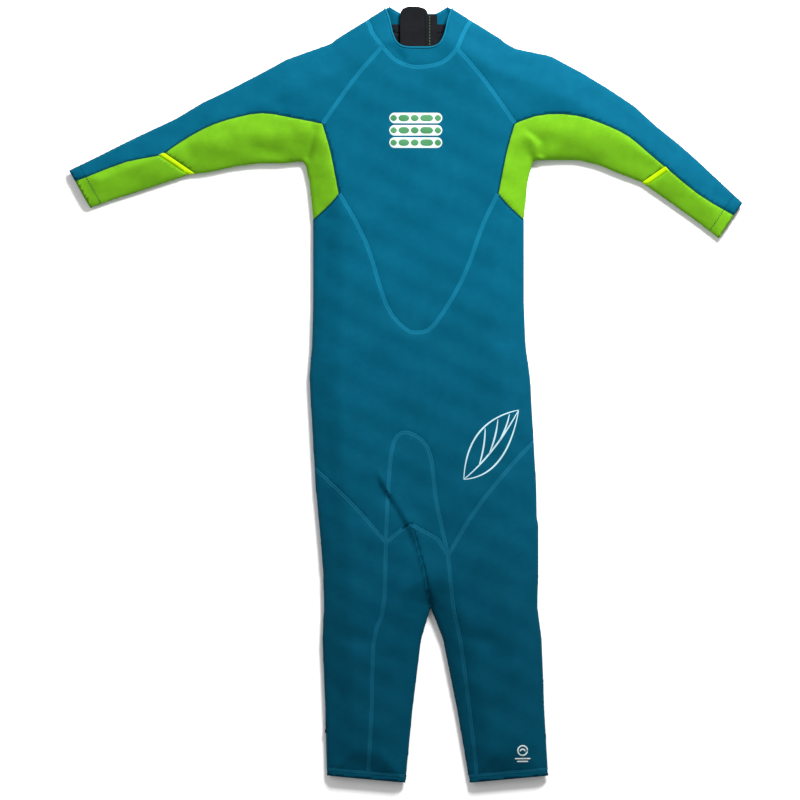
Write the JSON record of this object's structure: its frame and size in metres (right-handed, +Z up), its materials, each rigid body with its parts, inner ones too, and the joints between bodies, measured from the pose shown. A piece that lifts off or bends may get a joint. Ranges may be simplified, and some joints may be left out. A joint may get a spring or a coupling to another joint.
{
  "type": "full wetsuit",
  "caption": "Child's full wetsuit laid flat on its back: sewn neoprene panels with a mock neck, back zip, green underarms and hemmed ankles; folds at waist, shoulders and knees.",
  "frame": {"origin": "on the surface the suit lies on, under the middle of its outline", "axes": "+X across the suit towards the wearer's left sleeve, +Y towards the neck, +Z up out of the front of the suit"},
  "size_m": [0.9444, 1.087, 0.0287],
  "materials": {
    "teal_neoprene": "matt knit face",
    "deep_teal_neoprene": "matt knit face",
    "green_neoprene": "matt knit face",
    "neon_strip": "smooth glued tape",
    "black_neoprene": "matt knit lining",
    "zip_tape": "woven tape",
    "zip_teeth": "moulded coil",
    "slider_metal": "black enamel",
    "pull_plastic": "moulded rubber",
    "loop_pile": "brushed loop pile",
    "white_print": "rubber print",
    "cyan_print": "rubber print"
  },
  "bodies": {
    "hips": {"hip_front": "teal_neoprene", "seat_panel": "teal_neoprene", "gusset_front": "teal_neoprene", "gusset_back": "teal_neoprene", "thigh_front_left": "deep_teal_neoprene", "thigh_front_right": "deep_teal_neoprene", "thigh_back_left": "deep_teal_neoprene", "thigh_back_right": "deep_teal_neoprene", "inner_thigh_left": "teal_neoprene", "inner_thigh_right": "teal_neoprene", "hip_print": "cyan_print"},
    "torso": {"chest_panel": "teal_neoprene", "belly_panel": "teal_neoprene", "back_panel_left": "teal_neoprene", "back_panel_right": "teal_neoprene", "shoulder_left": "teal_neoprene", "shoulder_right": "teal_neoprene", "side_panel_left": "green_neoprene", "side_panel_right": "green_neoprene", "collar": "teal_neoprene", "zip_tape_left": "zip_tape", "zip_tape_right": "zip_tape", "zip_teeth_left": "zip_teeth", "zip_teeth_right": "zip_teeth", "zip_top_stop_left": "zip_teeth", "zip_top_stop_right": "zip_teeth", "zip_bottom_stop": "zip_teeth", "zip_flap": "black_neoprene", "flap_binding": "zip_tape", "neck_tab_base": "teal_neoprene", "neck_loop_patch": "loop_pile", "chest_print": "white_print"},
    "sleeve_left": {"sleeve_top_left": "teal_neoprene", "underarm_left": "green_neoprene", "forearm_left": "green_neoprene", "elbow_strip_left": "neon_strip"},
    "sleeve_right": {"sleeve_top_right": "teal_neoprene", "underarm_right": "green_neoprene", "forearm_right": "green_neoprene", "elbow_strip_right": "neon_strip"},
    "shin_left": {"shin_front_left": "deep_teal_neoprene", "shin_back_left": "deep_teal_neoprene", "inner_shin_left": "deep_teal_neoprene", "ankle_hem_left": "deep_teal_neoprene"},
    "shin_right": {"shin_front_right": "deep_teal_neoprene", "shin_back_right": "deep_teal_neoprene", "inner_shin_right": "deep_teal_neoprene", "ankle_hem_right": "deep_teal_neoprene", "ankle_print": "white_print"},
    "zip_slider": {"zip_slider": "slider_metal"},
    "zip_pull": {"zip_pull": "pull_plastic"},
    "neck_tab": {"neck_tab": "teal_neoprene"}
  },
  "joints": [
    {"name": "waist_fold", "type": "hinge", "parent": "hips", "child": "torso", "pos_m": [0.01794, 0.0695, 0.0285], "axis": [1, 0, 0], "range_deg": [0, 90]},
    {"name": "shoulder_fold_left", "type": "hinge", "parent": "torso", "child": "sleeve_left", "pos_m": [-0.13006, 0.4065, 0.0285], "axis": [0.1502, 0.9887, 0], "range_deg": [0, 100]},
    {"name": "shoulder_fold_right", "type": "hinge", "parent": "torso", "child": "sleeve_right", "pos_m": [0.16944, 0.4065, 0.0285], "axis": [0.1925, -0.9813, 0], "range_deg": [0, 100]},
    {"name": "knee_fold_left", "type": "hinge", "parent": "hips", "child": "shin_left", "pos_m": [-0.04706, -0.3425, 0.0273], "axis": [-1, 0, 0], "range_deg": [0, 110]},
    {"name": "knee_fold_right", "type": "hinge", "parent": "hips", "child": "shin_right", "pos_m": [0.12094, -0.3425, 0.0273], "axis": [-1, 0, 0], "range_deg": [0, 110]},
    {"name": "zip_travel", "type": "slide", "parent": "torso", "child": "zip_slider", "axis": [0, -1, 0], "range_m": [0, 0.34]},
    {"name": "pull_swing", "type": "hinge", "parent": "zip_slider", "child": "zip_pull", "pos_m": [0.01794, 0.4865, 0.0024], "axis": [1, 0, 0], "range_deg": [0, 110]},
    {"name": "tab_peel", "type": "hinge", "parent": "torso", "child": "neck_tab", "pos_m": [0.00994, 0.5185, 0.0019], "axis": [0, 1, 0], "range_deg": [0, 150]}
  ]
}
